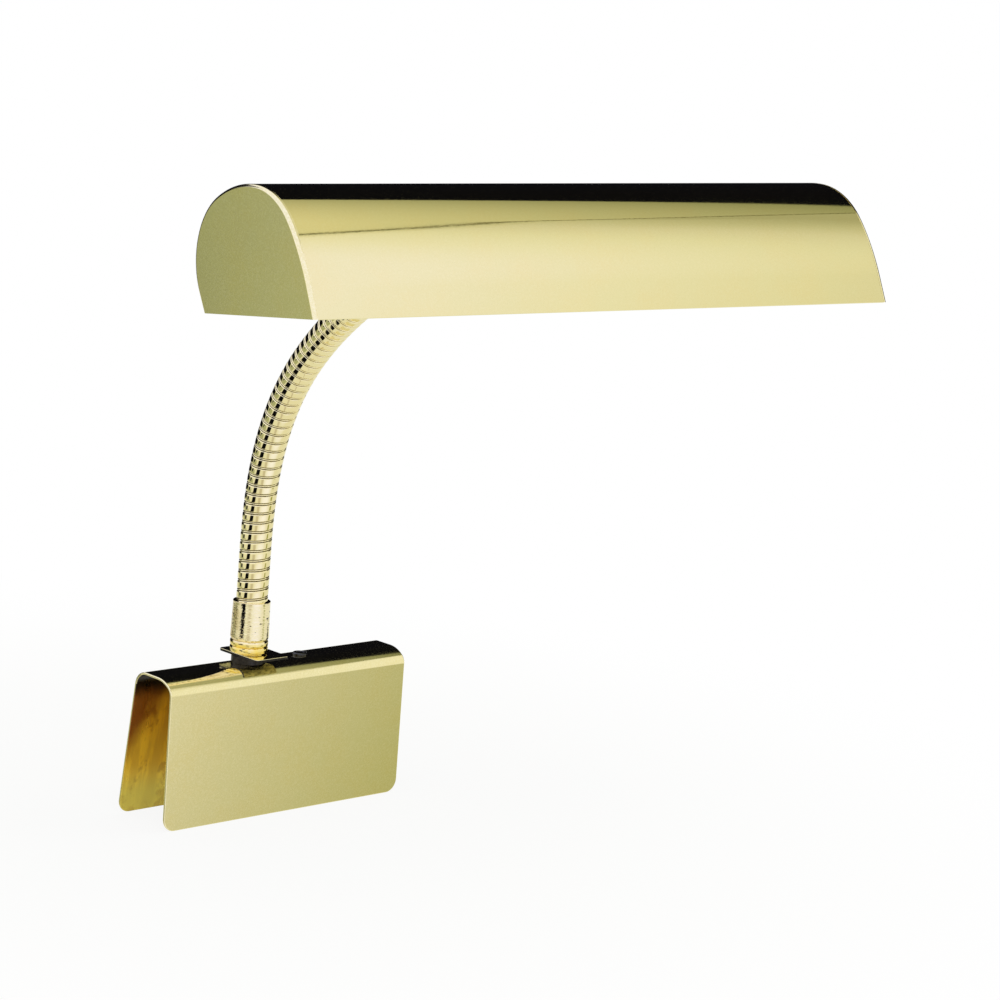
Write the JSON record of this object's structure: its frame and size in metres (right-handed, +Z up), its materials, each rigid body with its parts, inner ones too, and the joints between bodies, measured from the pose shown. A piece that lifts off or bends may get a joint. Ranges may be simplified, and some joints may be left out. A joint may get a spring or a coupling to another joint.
{
  "type": "clip-on piano lamp",
  "caption": "Clip-on piano lamp: polished brass half-round shade on a flexible neck, carried by a folded sheet clip that straddles the edge of a music desk.",
  "frame": {"origin": "underside of the clip's crown, at mid length, in line with the neck; the desk edge sits against it", "axes": "+Z up, +X along the clip to the right of someone facing the lamp from the player's side, -Y towards the player"},
  "size_m": [0.367, 0.3671, 0.4037],
  "materials": {
    "polished_brass": "polished and lacquered",
    "brass_neck": "polished, grooved between the coils",
    "zinc_steel": "bright zinc plate",
    "black_plastic": "smooth black",
    "socket_plastic": "dark moulded phenolic",
    "bulb_metal": "bright rolled sheet",
    "bulb_glass": "clear",
    "filament_metal": "drawn wire on a pale stem",
    "lead_insulation": "sleeved leads"
  },
  "bodies": {
    "root": {"clip_saddle": "polished_brass", "foot_spacer": "polished_brass", "foot_plate": "polished_brass", "foot_nipple": "zinc_steel", "foot_washer": "zinc_steel", "foot_lock_nut": "zinc_steel", "lower_sleeve": "polished_brass", "cord_bushing": "black_plastic", "bushing_nut": "black_plastic", "neck_segment_0": "brass_neck"},
    "neck_1": {"neck_segment_1": "brass_neck"},
    "neck_2": {"neck_segment_2": "brass_neck"},
    "neck_3": {"neck_segment_3": "brass_neck"},
    "neck_4": {"neck_segment_4": "brass_neck"},
    "neck_5": {"neck_segment_5": "brass_neck"},
    "neck_6": {"neck_segment_6": "brass_neck"},
    "neck_7": {"neck_segment_7": "brass_neck"},
    "neck_8": {"neck_segment_8": "brass_neck"},
    "head": {"neck_segment_9": "brass_neck", "shade_shell": "polished_brass", "shade_outer_washer": "polished_brass", "shade_inner_washer": "zinc_steel", "upper_sleeve": "polished_brass", "shade_nipple": "zinc_steel", "shade_lock_nut": "zinc_steel", "socket_bracket": "zinc_steel", "socket_screws": "zinc_steel", "switch_body": "black_plastic", "switch_nut": "zinc_steel", "inner_leads": "lead_insulation", "end_cap_left": "polished_brass", "socket_body_left": "socket_plastic", "screw_shell_left": "bulb_metal", "centre_contact_left": "bulb_metal", "bulb_cap_left": "bulb_metal", "bulb_glass_left": "bulb_glass", "bulb_filament_left": "filament_metal", "end_cap_right": "polished_brass", "socket_body_right": "socket_plastic", "screw_shell_right": "bulb_metal", "centre_contact_right": "bulb_metal", "bulb_cap_right": "bulb_metal", "bulb_glass_right": "bulb_glass", "bulb_filament_right": "filament_metal"},
    "knob": {"switch_knob": "black_plastic"}
  },
  "joints": [
    {"name": "neck_bend_1", "type": "hinge", "parent": "root", "child": "neck_1", "pos_m": [-0.0184, 0, 0.06894], "axis": [0.9898, -0.1426, 0], "range_deg": [-12, 8]},
    {"name": "neck_sway_1", "type": "hinge", "parent": "neck_1", "child": "neck_2", "pos_m": [-0.01869, -0.00205, 0.10179], "axis": [0.1415, 0.982, 0.1253], "range_deg": [-10, 10]},
    {"name": "neck_bend_2", "type": "hinge", "parent": "neck_2", "child": "neck_3", "pos_m": [-0.01975, -0.00934, 0.13384], "axis": [0.9898, -0.1426, 0], "range_deg": [-12, 8]},
    {"name": "neck_sway_2", "type": "hinge", "parent": "neck_3", "child": "neck_4", "pos_m": [-0.02176, -0.02332, 0.16352], "axis": [0.1207, 0.8375, 0.5329], "range_deg": [-10, 10]},
    {"name": "neck_bend_3", "type": "hinge", "parent": "neck_4", "child": "neck_5", "pos_m": [-0.02466, -0.04344, 0.18935], "axis": [0.9898, -0.1426, 0], "range_deg": [-12, 8]},
    {"name": "neck_sway_3", "type": "hinge", "parent": "neck_5", "child": "neck_6", "pos_m": [-0.02816, -0.06773, 0.21129], "axis": [0.0874, 0.6066, 0.7902], "range_deg": [-10, 10]},
    {"name": "neck_bend_4", "type": "hinge", "parent": "neck_6", "child": "neck_7", "pos_m": [-0.032, -0.09441, 0.2302], "axis": [0.9898, -0.1426, 0], "range_deg": [-12, 8]},
    {"name": "neck_sway_4", "type": "hinge", "parent": "neck_7", "child": "neck_8", "pos_m": [-0.03609, -0.12276, 0.24644], "axis": [0.0643, 0.4463, 0.8926], "range_deg": [-10, 10]},
    {"name": "neck_bend_5", "type": "hinge", "parent": "neck_8", "child": "head", "pos_m": [-0.04041, -0.15277, 0.25925], "axis": [0.9898, -0.1426, 0], "range_deg": [-12, 8]},
    {"name": "switch_turn", "type": "hinge", "parent": "head", "child": "knob", "pos_m": [-0.05557, -0.25911, 0.26368], "axis": [0.0036, 0.1226, 0.9924], "continuous": true}
  ]
}
